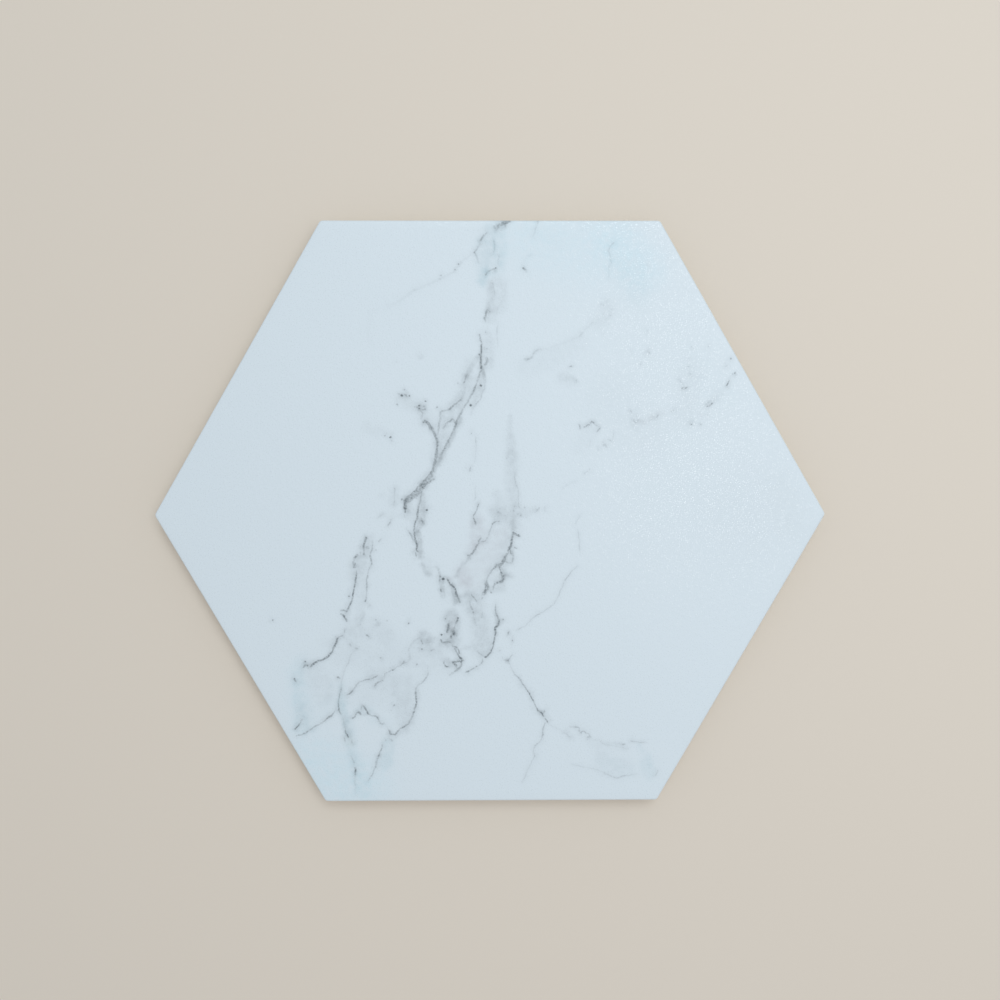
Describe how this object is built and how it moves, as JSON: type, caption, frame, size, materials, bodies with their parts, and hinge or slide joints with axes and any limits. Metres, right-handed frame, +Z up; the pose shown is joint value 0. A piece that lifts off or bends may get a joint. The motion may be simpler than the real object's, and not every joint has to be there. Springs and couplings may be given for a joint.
{
  "type": "hexagon floor tile",
  "caption": "Hexagonal glazed porcelain floor tile with a flat marble-veined face, eased edges and a back keyed by raised hexagonal lands.",
  "frame": {"origin": "middle of the tile's outline, in the plane of the back lands that the tile beds on", "axes": "+Z up out of the glazed face, +X towards a corner, +Y square to a side"},
  "size_m": [0.2304, 0.2, 0.009],
  "materials": {
    "porcelain": "satin glaze with a fine sparkle over a marble-look print; bare pressed body on back and sides"
  },
  "bodies": {
    "root": {"hexagon_tile": "porcelain"}
  },
  "joints": []
}
